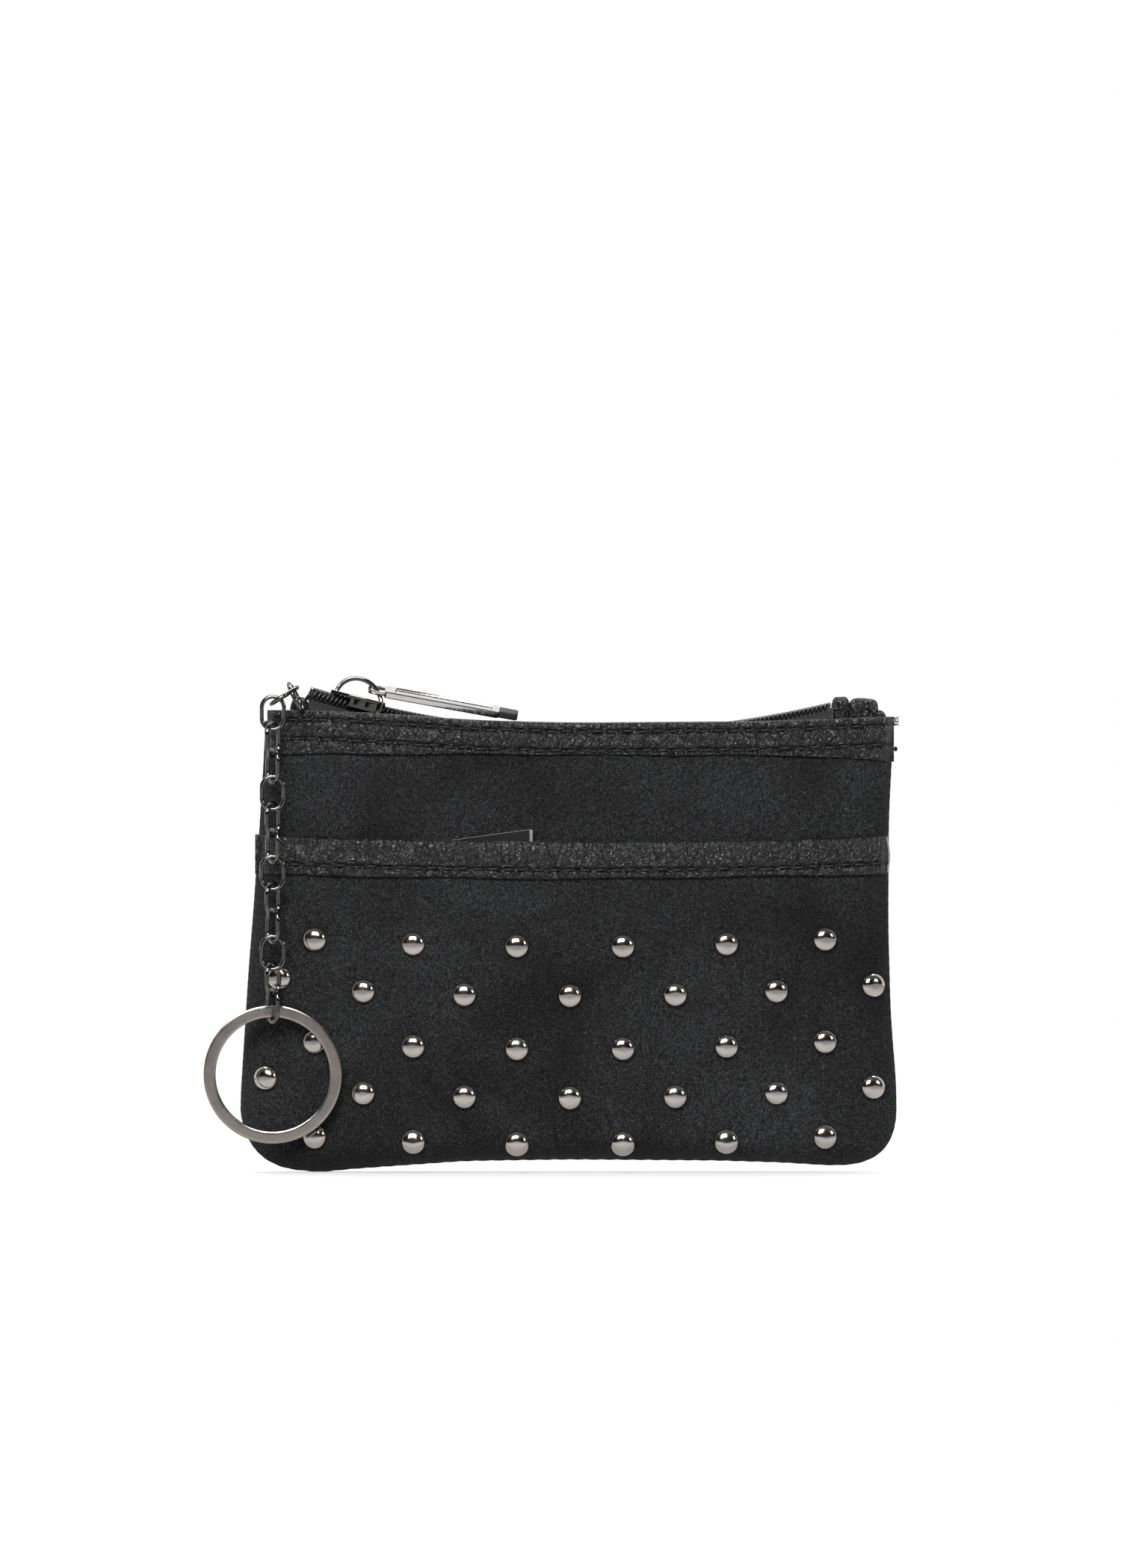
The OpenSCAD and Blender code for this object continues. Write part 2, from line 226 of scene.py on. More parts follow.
def bump(n, height, distance, strength=1.0, normal=None):
    node = n.add("ShaderNodeBump", {"Height": height, "Distance": distance, "Strength": strength})
    if normal:
        n.tree.links.new(normal, node.inputs["Normal"])
    return node.outputs[0]


def link(n, value, socket):
    n.tree.links.new(value, n.shader.inputs[socket])


def tint(n, value, dark, light):
    mix = n.add("ShaderNodeMix", {"Factor": value}, data_type="RGBA")
    mix.inputs[6].default_value = (*dark, 1)
    mix.inputs[7].default_value = (*light, 1)
    return mix.outputs[2]


def nubuck():
    """Black nubuck: a velvety nap with fine pale specks, cloudy in broad patches that are partly its own
    mottling and partly painted shade.
    """
    mat, n = surface("nubuck", (0.03, 0.03, 0.031), 0.7,
                     **{"Sheen Weight": 0.02, "Sheen Roughness": 0.5, "Specular IOR Level": 0.1})
    grain = noise(n, 2300, 5, 0.85)
    fine = noise(n, 4600, 3, 0.7)
    speck = ramp(n, noise(n, 2900, 2, 0.7), 0.58, 0.72)
    # broad patches about 30 mm across: partly the nap's own mottling, partly painted shade
    mottle_and_shade = noise(n, 34, 2, 0.5, 0.6)
    nap = maths(n, "MULTIPLY", ramp(n, grain, 0.44, 0.62), 0.42)
    value = maths(n, "ADD", nap, maths(n, "MULTIPLY", speck, 0.9))
    value = maths(n, "ADD", value, ramp(n, fine, 0.35, 0.7, -0.12, 0.2))
    # the broad patches darken and lighten the colour: partly mottling, partly painted shade
    value = maths(n, "MULTIPLY", value, ramp(n, mottle_and_shade, 0.32, 0.68, 0.45, 1.35))
    link(n, tint(n, value, (0.0018, 0.0019, 0.0021), (0.064, 0.066, 0.069)), "Base Color")
    link(n, ramp(n, grain, 0.3, 0.7, 0.8, 0.55), "Roughness")
    small = bump(n, grain, 0.00022, 0.9)
    link(n, bump(n, noise(n, 75, 3, 0.55, 0.4), 0.0012, 0.3, small), "Normal")
    return mat


def pebbled():
    """Black grained leather: irregular pebbles parted by creases that catch the light, with pale glints
    painted along some of them.
    """
    base = (0.003, 0.0031, 0.0034)
    mat, n = surface("pebbled_leather", base, 0.3, **{"Specular IOR Level": 0.4})
    bend = n.add("ShaderNodeTexNoise", {"Vector": n.where, "Scale": 420, "Detail": 2.0})
    move = n.add("ShaderNodeVectorMath", {0: bend.outputs["Color"], 1: (0.0013, 0.0013, 0.0013)},
                 operation="MULTIPLY")
    place = n.add("ShaderNodeVectorMath", {0: n.where, 1: move.outputs[0]}, operation="ADD").outputs[0]
    stretched = n.add("ShaderNodeVectorMath", {0: place, 1: (1.0, 1.0, 0.72)},
                      operation="MULTIPLY").outputs[0]
    cells = n.add("ShaderNodeTexVoronoi", {"Vector": stretched, "Scale": 780},
                  feature="DISTANCE_TO_EDGE").outputs["Distance"]
    small = n.add("ShaderNodeTexVoronoi", {"Vector": place, "Scale": 1300},
                  feature="DISTANCE_TO_EDGE").outputs["Distance"]
    crease = ramp(n, cells, 0.0, 0.16)
    little = ramp(n, small, 0.0, 0.2)
    height = maths(n, "ADD", maths(n, "MULTIPLY", crease, 0.7), maths(n, "MULTIPLY", little, 0.3))
    pores = noise(n, 6000, 2, 0.6)
    height = maths(n, "ADD", height, maths(n, "MULTIPLY", pores, 0.12))
    # painted highlight: pale lines along some creases stand in for glints on their edges
    line = maths(n, "SUBTRACT", 1.0, ramp(n, cells, 0.0, 0.1))
    painted_glint = maths(n, "MULTIPLY", line, ramp(n, noise(n, 900, 3, 0.6), 0.42, 0.6))
    link(n, tint(n, painted_glint, base, (0.05, 0.051, 0.053)), "Base Color")
    rough = maths(n, "ADD", ramp(n, little, 0, 1, 0.1, 0.0),
                  ramp(n, noise(n, 300, 2), 0.3, 0.7, 0.24, 0.38))
    link(n, rough, "Roughness")
    link(n, bump(n, height, 0.0003, 0.9), "Normal")
    return mat


def plated(name, color, rough):
    """Dark plated metal with hairline wear and a faint unevenness."""
    mat, n = surface(name, color, rough, 1.0)
    haze = noise(n, 260, 4, 0.6)
    hair = noise(n, 2600, 3, 0.7)
    hazy = ramp(n, haze, 0.3, 0.7, rough * 0.75, rough * 1.3)
    link(n, maths(n, "ADD", hazy, ramp(n, hair, 0.4, 0.7, 0, 0.04)), "Roughness")
    dark = tuple(c * 0.86 for c in color)
    link(n, tint(n, ramp(n, haze, 0.35, 0.65), dark, color), "Base Color")
    height = maths(n, "ADD", maths(n, "MULTIPLY", haze, 0.6), maths(n, "MULTIPLY", hair, 0.2))
    link(n, bump(n, height, 0.00003, 0.5), "Normal")
    return mat


def woven(name, base, scale, depth):
    """Ribbed tape or lining cloth: threads one way, picks the other, with the crests painted lighter as a
    painted highlight.
    """
    mat, n = surface(name, base, 0.78, **{"Sheen Weight": 0.2, "Specular IOR Level": 0.3})
    rib = n.add("ShaderNodeTexWave", {"Vector": n.where, "Scale": scale, "Distortion": 0.6, "Detail": 1.0,
                                      "Detail Scale": 2.0}, bands_direction="X").outputs["Fac"]
    pick = n.add("ShaderNodeTexWave", {"Vector": n.where, "Scale": scale * 0.8, "Distortion": 0.5},
                 bands_direction="Z").outputs["Fac"]
    height = maths(n, "ADD", rib, maths(n, "MULTIPLY", pick, 0.5))
    # painted highlight: the colour grows lighter towards the crests of the ribs
    crest_highlight = tuple(c * 2.4 for c in base)
    link(n, tint(n, maths(n, "MULTIPLY", height, 0.6), base, crest_highlight), "Base Color")
    link(n, bump(n, height, depth, 0.8), "Normal")
    return mat


def nylon(name, base, rough):
    """Plastic, thread or rubber with a fine unevenness."""
    mat, n = surface(name, base, rough, **{"Specular IOR Level": 0.5})
    grain = noise(n, 3500, 3, 0.6)
    link(n, ramp(n, grain, 0.3, 0.7, rough - 0.07, rough + 0.1), "Roughness")
    link(n, tint(n, grain, tuple(c * 0.7 for c in base), tuple(c * 1.4 for c in base)), "Base Color")
    link(n, bump(n, grain, 0.00002, 0.6), "Normal")
    return mat


MAT = {
    "suede": nubuck(),
    "grained_leather": pebbled(),
    "stud_metal": plated("stud_metal", (0.56, 0.52, 0.49), 0.11),
    "gunmetal": plated("gunmetal", (0.15, 0.145, 0.14), 0.06),
    "tape": woven("zip_tape", (0.009, 0.009, 0.01), 900, 0.00012),
    "lining": woven("lining_cloth", (0.03, 0.03, 0.033), 1400, 0.00006),
    "coil": nylon("coil_nylon", (0.012, 0.012, 0.013), 0.2),
    "thread": nylon("thread", (0.002, 0.002, 0.0023), 0.6),
    "label": nylon("label_gloss", (0.004, 0.004, 0.0045), 0.12),
    "puller": plated("puller_metal", (0.72, 0.71, 0.70), 0.09),
    "ring": plated("ring_metal", (0.36, 0.325, 0.30), 0.2),
    "rubber": nylon("tip_rubber", (0.012, 0.012, 0.013), 0.6),
    "cut_edge": nylon("cut_edge", (0.2, 0.2, 0.205), 0.6),
}


# ---------------------------------------------------------------- mesh helpers
def piece(name, verts, faces, slot, body="purse", mat=None, nodes=(), split=None):
    """One Blender piece from points in millimetres; split is the angle from which an edge is sharp."""
    data = bpy.data.meshes.new(name)
    data.from_pydata([tuple(v) for v in np.asarray(verts, float) * MM], [], faces)
    data.validate()
    bm = bmesh.new()
    bm.from_mesh(data)
    bmesh.ops.remove_doubles(bm, verts=bm.verts, dist=1e-7)
    bmesh.ops.recalc_face_normals(bm, faces=bm.faces)
    bm.to_mesh(data)
    bm.free()
    data.polygons.foreach_set("use_smooth", [True] * len(data.polygons))
    if split:
        data.set_sharp_from_angle(angle=math.radians(split))
    data.materials.append(mat or MAT[slot])
    obj = bpy.data.objects.new(name, data)
    bpy.context.collection.objects.link(obj)
    if nodes:
        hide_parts(*nodes)
    if body:
        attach(obj, body)
    return obj


def grid_faces(rows, cols, start=0, wrap_rows=False, wrap_cols=False, flip=False):
    """The quads between the points of a grid whose first point has the index start."""
    faces = []
    for i in range(rows if wrap_rows else rows - 1):
        for j in range(cols if wrap_cols else cols - 1):
            a = start + i * cols + j
            b = start + i * cols + (j + 1) % cols
            c = start + ((i + 1) % rows) * cols + (j + 1) % cols
            d = start + ((i + 1) % rows) * cols + j
            faces.append((d, c, b, a) if flip else (a, b, c, d))
    return faces


def slab(outer, inner):
    """A closed leaf between two equal grids of points."""
    rows, cols = outer.shape[:2]
    count = rows * cols
    verts = np.concatenate([outer.reshape(-1, 3), inner.reshape(-1, 3)])
    faces = grid_faces(rows, cols) + grid_faces(rows, cols, count, flip=True)
    for j in range(cols - 1):
        for i in (0, (rows - 1) * cols):
            faces.append((i + j, i + j + 1, count + i + j + 1, count + i + j))
    for i in range(rows - 1):
        for j in (0, cols - 1):
            a, b = i * cols + j, (i + 1) * cols + j
            faces.append((a, b, count + b, count + a))
    return verts, faces


def sweep(path, section, closed=False, up=(0, 1, 0)):
    """A closed section carried along a path; section is (N, 2) or (stations, N, 2)."""
    path = np.asarray(path, float)
    section = np.asarray(section, float)
    if section.ndim == 2:
        section = np.repeat(section[None], len(path), 0)
    ahead = np.roll(path, -1, 0) - np.roll(path, 1, 0)
    if not closed:
        ahead[0] = path[1] - path[0]
        ahead[-1] = path[-1] - path[-2]
    ahead /= np.linalg.norm(ahead, axis=1, keepdims=True)
    side = np.cross(np.asarray(up, float), ahead)
    length = np.linalg.norm(side, axis=1, keepdims=True)
    side = side / np.maximum(length, 1e-9)
    top = np.cross(ahead, side)
    rings = path[:, None] + section[..., :1] * side[:, None] + section[..., 1:] * top[:, None]
    rows, cols = rings.shape[:2]
    faces = grid_faces(rows, cols, wrap_rows=closed, wrap_cols=True)
    if not closed:
        faces += [tuple(range(cols))[::-1], tuple((rows - 1) * cols + j for j in range(cols))]
    return rings.reshape(-1, 3), faces


def circle(radius, sides=12):
    a = np.linspace(0, 2 * PI, sides, endpoint=False)
    return np.stack([np.cos(a), np.sin(a)], 1) * radius


def rounded(width, height, power=5.0, sides=28):
    """A rectangle with soft corners."""
    a = np.linspace(0, 2 * PI, sides, endpoint=False) + 1e-6
    c, s = np.cos(a), np.sin(a)
    r = (np.abs(c) ** power + np.abs(s) ** power) ** (-1 / power)
    return np.stack([c * r * width / 2, s * r * height / 2], 1)


def join(parts):
    """Several pairs of points and faces as one pair."""
    verts, faces, count = [], [], 0
    for v, f in parts:
        verts.append(v)
        faces += [tuple(i + count for i in face) for face in f]
        count += len(v)
    return np.concatenate(verts), faces


def smoothstep(t):
    t = np.clip(t, 0, 1)
    return t * t * (3 - 2 * t)


def hashed(i, j, seed):
    """A number from 0 to 1 that looks random but is always the same for the same cell."""
    v = np.sin(i * 127.1 + j * 311.7 + seed * 74.7) * 43758.5453
    return v - np.floor(v)


def soft_noise(x, z, size, seed=0):
    """Smooth value noise in the plane of the leather, from -1 to 1."""
    u, v = np.asarray(x, float) / size, np.asarray(z, float) / size
    i, j = np.floor(u), np.floor(v)
    a, b = smoothstep(u - i), smoothstep(v - j)
    low = hashed(i, j, seed) * (1 - a) + hashed(i + 1, j, seed) * a
    high = hashed(i, j + 1, seed) * (1 - a) + hashed(i + 1, j + 1, seed) * a
    return 2 * (low * (1 - b) + high * b) - 1


# ---------------------------------------------------------------- the purse's outline and surfaces
def eased(x, xs, ys, blur=4.0):
    """A line through a few places, with its corners eased."""
    x = np.asarray(x, float)
    steps = np.linspace(-blur, blur, 9)
    return np.mean([np.interp(x + s, xs, ys) for s in steps], axis=0)


def left_edge(z):
    return eased(z, [0, 14, 41, 56, 85, 100], [-66.4, -66.8, -65.1, -63.9, -62.1, -61.6])


def right_edge(z):
    return eased(z, [0, 17, 32, 50, 72, 86, 94], [66.5, 66.7, 65.5, 65.0, 65.1, 65.8, 66.2])


def bottom_edge(x):
    return eased(x, [-70, -57, -51.5, -45, -21.5, 0, 30, 43, 54, 60, 70],
                 [2.0, 0.9, 0.0, 0.7, 2.4, 2.7, 2.5, 2.1, 1.4, 1.9, 3.0], 2.5)


def bezier(a, b, c, count):
    """A curve from a to c that bends towards b."""
    t = np.linspace(0, 1, count)[:, None]
    return (1 - t) ** 2 * np.array(a) + 2 * t * (1 - t) * np.array(b) + t * t * np.array(c)


def even(points, count):
    """The same line with its points evenly spaced."""
    points = np.asarray(points, float)
    run = np.r_[0, np.cumsum(np.linalg.norm(np.diff(points, axis=0), axis=1))]
    at = np.linspace(0, run[-1], count)
    return np.stack([np.interp(at, run, points[:, k]) for k in range(points.shape[1])], 1)


def outline(top, inset=0.0, grow_left=0.0):
    """Bottom, left, right and top lines of a panel that ends at top(x)."""
    corner_z, corner_left, corner_right = 12.5, -54.0, 55.0
    count = 40
    half = count // 2

    def at_left(z):
        return left_edge(z) - grow_left + inset

    def at_right(z):
        return right_edge(z) - inset

    def at_bottom(x):
        return bottom_edge(x) + inset

    turn_l = bezier((at_left(corner_z), corner_z), (at_left(5) + 1.2, 1.0 + inset),
                    (corner_left, at_bottom(corner_left)), count)
    turn_r = bezier((at_right(corner_z), corner_z), (at_right(5) - 0.2, 1.6 + inset),
                    (corner_right, at_bottom(corner_right)), count)
    span = np.linspace(corner_left, corner_right, 120)
    middle = np.stack([span, at_bottom(span)], 1)[1:-1]
    bottom = np.concatenate([turn_l[half:], middle, turn_r[::-1][:half]])
    rise_l = np.linspace(corner_z, top(at_left(80)), 80)
    rise_r = np.linspace(corner_z, top(at_right(80)), 80)
    left = np.concatenate([turn_l[:half + 1][::-1], np.stack([at_left(rise_l), rise_l], 1)[1:]])
    right = np.concatenate([turn_r[:half + 1][::-1], np.stack([at_right(rise_r), rise_r], 1)[1:]])
    over = np.linspace(left[-1][0], right[-1][0], 160)
    return bottom, left, right, np.stack([over, top(over)], 1)


def patch(top, cols, rows, inset=0.0, grow_left=0.0):
    """Grid of X and Z inside an outline, and the distance of each point to its sewn edges."""
    bottom, left, right, over = outline(top, inset, grow_left)
    b, t = even(bottom, cols), even(over, cols)
    l, r = even(left, rows), even(right, rows)
    u = np.linspace(0, 1, cols)[None, :, None]
    v = np.linspace(0, 1, rows)[:, None, None]
    grid = ((1 - v) * b[None] + v * t[None] + (1 - u) * l[:, None] + u * r[:, None]
            - (1 - u) * (1 - v) * b[0] - u * (1 - v) * b[-1] - (1 - u) * v * t[0] - u * v * t[-1])
    edge = np.concatenate([even(bottom, 260), even(left, 160), even(right, 160)])
    flat = grid.reshape(-1, 2)
    near = np.concatenate([np.min(np.linalg.norm(part[:, None] - edge[None], axis=2), axis=1)
                           for part in np.array_split(flat, 40)])
    return grid[..., 0], grid[..., 1], near.reshape(rows, cols)


def bulge(depth):
    """Radius of the arc that is depth from the seam in the middle and ends on the side's round of SIDE_R."""
    return (SIDE_X ** 2 / (depth - SIDE_R) + depth + SIDE_R) / 2


def crown(x, z, near, depth, edge=5.5):
    """Distance of a panel's face from the seam plane."""
    across = depth - x ** 2 / (2 * bulge(max(depth, SIDE_R + 1.2)))
    along = depth - (z - BELLY_Z) ** 2 / (2 * SIDE_BULGE)
    base = -np.log(np.exp(-across * 2) + np.exp(-along * 2)) / 2
    t = np.clip(near / edge, 0, 1)
    return base * np.sqrt(np.clip(1 - (1 - t) ** 2, 0, 1))


def crease(x, z, a, b, width, height):
    """A soft fold along the line from a to b."""
    a, b = np.array(a, float), np.array(b, float)
    d = b - a
    t = np.clip(((x - a[0]) * d[0] + (z - a[1]) * d[1]) / (d @ d), 0, 1)
    off = np.hypot(x - a[0] - t * d[0], z - a[1] - t * d[1])
    return height * np.exp(-(off / width) ** 2) * np.sin(PI * np.clip(t, 0.02, 0.98)) ** 0.5


def stud_places():
    """Place and row of each stud, a little off its even grid by the amounts given."""
    places = []
    for row, lift in enumerate((0.4, 0.5, -0.2, 0.0, 0.8)):
        count = 6 + row % 2
        z = STUD_TOP_Z - row * STUD_STEP_Z
        for k in range(count):
            x = (k - (count - 1) / 2) * STUD_STEP_X
            dx = 0.1 + math.sin(PI * x / 62)
            dz = 1.9 * (x * x / 3600 - 0.4) + lift
            if x < -60:
                dx, dz = (2.6, 3.3) if row == 1 else (-0.1, 3.1)
            places.append((x + dx, z + dz, row))
    return places


STUDS = stud_places()


def pocket_face(x, z, near):
    y = crown(x, z, near, POCKET_DEPTH)
    soft = smoothstep(near / 9)
    y = y + soft * (0.35 * soft_noise(x, z, 26, 3) + 0.16 * soft_noise(x, z, 11, 5))
    for sx, sz, _ in STUDS:
        y = y - 0.30 * np.exp(-((x - sx) ** 2 + (z - sz) ** 2) / 16.0)
    y = y + crease(x, z, (-50, 4.5), (-12, 3.2), 3.0, 0.7)
    y = y + crease(x, z, (20, 4.0), (58, 4.5), 3.0, 0.6)
    return y


def front_face(x, z, near):
    y = crown(x, z, near, FRONT_DEPTH)
    soft = smoothstep(near / 8)
    y = y + soft * (0.4 * soft_noise(x, z, 30, 11) + 0.15 * soft_noise(x, z, 12, 13))
    y = y + crease(x, z, (-60, 76), (-38, 71), 5.0, 1.1)
    y = y - crease(x, z, (-46, 80), (-20, 74), 6.0, 0.9)
    y = y + crease(x, z, (40, 84), (53, 69), 4.2, 1.2)
    y = y - crease(x, z, (51, 84), (60, 70), 4.0, 1.3)
    y = y + crease(x, z, (58, 78), (63, 68), 2.6, 1.0)
    return y


def back_face(x, z, near):
    y = crown(x, z, near, BACK_DEPTH)
    soft = smoothstep(near / 9)
    y = y + soft * (0.45 * soft_noise(x, z, 28, 21) + 0.15 * soft_noise(x, z, 12, 23))
    y = y + crease(x, z, (-30, 60), (35, 52), 9.0, 0.5)
    return y


def points(x, y, z):
    """Points from their three coordinates, which may be numbers or arrays."""
    return np.stack(np.broadcast_arrays(x, y, z), -1)


def mouth_top(x):
    return eased(x, [-66, -50, -38, -19, 0, 40, 66], [94.3, 94.2, 93.6, 92.2, 91.7, 92.0, 93.0], 6)


def pocket_top(x):
    return eased(x, [-66, -40, 0, 40, 66], [69.1, 68.0, 67.4, 67.7, 68.9], 8)


def give(obj):
    """Bakes a piece's placement into its points."""
    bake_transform(obj)


# ---------------------------------------------------------------- panels and linings
FINE = 1


def panel(name, face, top, side, thick, slot, body="purse", lift=0.0, cols=300, rows=200, grow_left=0.0):
    """A shell behind one of the faces: side is -1 to the front and 1 to the back, lift sets it further in."""
    cols, rows = cols // FINE, rows // FINE
    x, z, near = patch(top, cols, rows, grow_left=grow_left)
    y = face(x, z, near) - lift
    outer = points(x, side * y, z)
    xi, zi, ni = patch(top, cols, rows, inset=min(thick, 0.8), grow_left=grow_left)
    yi = np.maximum(face(xi, zi, ni) - lift - thick, 0.05 + 0 * y)
    inner = points(xi, side * yi, zi)
    verts, faces = slab(outer, inner)
    return piece(name, verts, faces, slot, body, nodes=[name])


def make_panels():
    """The three leather panels, then the lining behind each of them."""
    def below_mouth(x):
        return mouth_top(x) - 2.2

    def lining_top(x):
        return mouth_top(x) - 3.2

    panel("pocket_panel", pocket_face, lambda x: pocket_top(x) - 2.0, -1, LEATHER, "suede", grow_left=0.3)
    front = panel("front_panel", front_face, below_mouth, -1, LEATHER, "suede", None)
    give(front)
    panel("back_panel", back_face, below_mouth, 1, LEATHER, "suede", grow_left=0.2)
    coarse = {"lift": LEATHER + 0.1, "cols": 160, "rows": 110}
    front = panel("lining_front", front_face, lining_top, -1, LINING, "lining", None, **coarse)
    give(front)
    panel("lining_back", back_face, lining_top, 1, LINING, "lining", **coarse)
    panel("pocket_lining", pocket_face, lambda x: pocket_top(x) - 6.0, -1, LINING, "lining", **coarse)


make_panels()


# ---------------------------------------------------------------- leather bindings
def near_edge(x, z):
    """Distance to the nearer side edge of the purse."""
    return np.clip(np.minimum(x - left_edge(z), right_edge(z) - x), 0, None)


class Strip:
    """A folded strip of grained leather over a panel's edge, with sewn grooves and puckers along them.

    top and low are its edges, grooves are distances below its top edge, proud is how far it stands off
    the panel, drop is how far it reaches down inside, and clear is how far from the seam its inner
    side stays, so that the slider can pass.
    """

    WRAP = 2.4

    def __init__(self, face, side, top, low, grooves, proud, ends, seed, drop, clear=0.0):
        self.face, self.side, self.top, self.low = face, side, top, low
        self.grooves, self.proud, self.ends, self.seed = grooves, proud, ends, seed
        self.drop, self.clear = drop, clear

    def height(self, x, z):
        """Distance of the strip's face from the seam plane, before its edge is turned over."""
        zt, zl = self.top(x), self.low(x)
        t = np.clip((z - zl) / (zt - zl), 0, 1)
        puff = self.proud * (0.5 + 0.5 * np.sin(PI * t) ** 0.5)
        wave = np.cos(2 * PI * x / STITCH + self.seed)
        for groove in self.grooves:
            off = z - (zt - groove)
            puff = puff - 0.85 * np.exp(-(off / 0.5) ** 2) * (0.72 + 0.28 * wave)
            rays = np.cos(2 * PI * (x - 0.55 * np.abs(off)) / STITCH + self.seed)
            puff = puff + 0.15 * np.exp(-(off / 1.8) ** 2) * rays
        puff = (puff + 0.11 * soft_noise(x, z * 1.5, 2.4, self.seed)
                + 0.06 * soft_noise(x, z * 1.3, 1.0, self.seed + 4))
        near = near_edge(x, z)
        return self.face(x, z, np.maximum(near, 0.9)) * smoothstep(0.3 + near / 2.2) + puff

    def place(self, x, z, lift=0.0):
        return points(x, self.side * (self.height(x, z) + lift), z)

    def mesh(self):
        """The strip's section, row by row: up its face, round its top edge and down inside."""
        x = np.linspace(*self.ends, 900 // FINE)
        zt, zl = self.top(x), self.low(x)
        last = np.abs(self.place(x, zt - 0.7)[:, 1])
        inner = np.maximum(last - self.WRAP, np.minimum(self.clear, last - 0.9))
        half = (last - inner) / 2
        rows = []
        for t in np.linspace(0, 1, 61):
            z = zl + (zt - half * 0.6 - zl) * t
            rows.append(self.place(x, z))
        last = np.abs(rows[-1][:, 1])
        for t in np.linspace(0, PI, 15)[1:]:
            y = last - half * (1 - math.cos(t))
            z = zt - half * 0.6 * (1 - math.sin(t))
            rows.append(points(x, self.side * np.maximum(y, 0.25), z))
        zi = rows[-1][:, 2]
        for t in np.linspace(0, 1, 9)[1:]:
            y = last - 2 * half + 0.2 * t
            z = zi + (self.top(x) - self.drop - zi) * t
            rows.append(points(x, self.side * np.maximum(y, 0.25), z))
        under = np.maximum(np.abs(rows[0][:, 1]) - 0.9, 0.25)
        rows.append(points(x, self.side * under, zl + 0.05))
        grid = np.stack(rows)
        nr, nc = grid.shape[:2]
        faces = grid_faces(nr, nc, wrap_rows=True)
        faces += [tuple(i * nc for i in range(nr)), tuple(i * nc + nc - 1 for i in range(nr))[::-1]]
        return grid.reshape(-1, 3), faces

    def stitches(self, groove, first):
        """One row of thread: short runs that dive into the leather at both ends."""
        parts = []
        x0 = self.ends[0] + first
        while x0 + 2.2 < self.ends[1] - 0.6:
            t = np.linspace(0, 1, 9)
            x = x0 + 2.3 * t
            z = self.top(x) - groove + 0.1 * np.sin(3 * x0) + 0.12 * (t - 0.5)
            dive = 0.42 * np.sin(PI * t) ** 0.6 - 0.16
            spine = self.place(x, z)
            mid = np.mean(spine[:, 1])
            spine[:, 1] = mid + self.side * dive
            parts.append(sweep(spine, circle(0.27, 8), up=(0, 0, 1)))
            x0 += STITCH
        return join(parts)


def top_low(x):
    return eased(x, [-66, 0, 50, 66], [85.3, 85.2, 84.9, 83.6], 4) + 0.12 * np.sin(x / 4.3)


def pocket_low(x):
    return eased(x, [-66, -40, 0, 66], [60.9, 60.4, 59.9, 60.9], 6) + 0.12 * np.sin(x / 5.1)


STRIPS = {
    "top_binding_front": Strip(front_face, -1, mouth_top, top_low, [1.9, 5.8], 1.15,
                               (-61.4, 66.1), 2, drop=4.5, clear=4.05),
    "top_binding_back": Strip(back_face, 1, mouth_top, top_low, [1.9, 5.8], 1.15,
                              (-61.6, 66.2), 9, drop=4.5, clear=4.05),
    "pocket_binding": Strip(pocket_face, -1, pocket_top, pocket_low, [5.7], 1.25,
                            (-64.0, 64.9), 5, drop=3.5),
}


def make_strips():
    for name, strip in STRIPS.items():
        verts, faces = strip.mesh()
        opens = name == "top_binding_front"
        body = None if opens else "purse"
        made = [piece(name, verts, faces, "grained_leather", body, nodes=[name])]
        for k, groove in enumerate(strip.grooves):
            verts, faces = strip.stitches(groove, 0.9 + 0.8 * k)
            made.append(piece(f"stitches_{name}_{k + 1}", verts, faces, "coil", body, MAT["thread"]))
        if opens:
            for obj in made:
                give(obj)


make_strips()


def cut_end():
    """The pale raw edge at the right end of the pocket's binding."""
    strip = STRIPS["pocket_binding"]
    z = np.linspace(61.2, 68.3, 30)
    x = np.full_like(z, 64.95) + 0.12 * np.sin(z) - 0.25 * smoothstep((z - 66.5) / 2)
    verts, faces = sweep(strip.place(x, z, -0.05), rounded(0.34, 0.5, 3, 10), up=(1, 0, 0))
    piece("pocket_binding_cut", verts, faces, "lining", "purse", MAT["cut_edge"])


def loose_threads():
    """Frayed ends of thread at the mouth's right end, and a small knot below them."""
    parts = []
    for k in range(9):
        t = np.linspace(0, 1, 12)
        rise = 91.1 + 0.2 * k
        length = 0.7 + 0.5 * math.sin(k * 2.1) ** 2
        x = 65.9 + length * t
        y = -5.0 + 0.4 * math.sin(k * 1.7) + 0.5 * t * math.sin(k * 5.1)
        z = rise + 0.5 * t ** 2 * math.cos(k * 1.9) + 0.08 * np.sin(9 * t + k)
        parts.append(sweep(points(x, y, z), circle(0.075, 6), up=(0, 1, 0.1)))
    for k in range(3):
        t = np.linspace(0, 2 * PI, 24, endpoint=False)
        x = 66.3 + 0.28 * np.cos(t)
        y = -4.6 + 0.25 * np.sin(t + k)
        z = 86.2 + 0.25 * np.sin(t) + 0.12 * k
        parts.append(sweep(points(x, y, z), circle(0.13, 6), closed=True, up=(0.3, 0.2, 1)))
    verts, faces = join(parts)
    piece("loose_threads", verts, faces, "coil", "purse", MAT["thread"])


cut_end()
loose_threads()


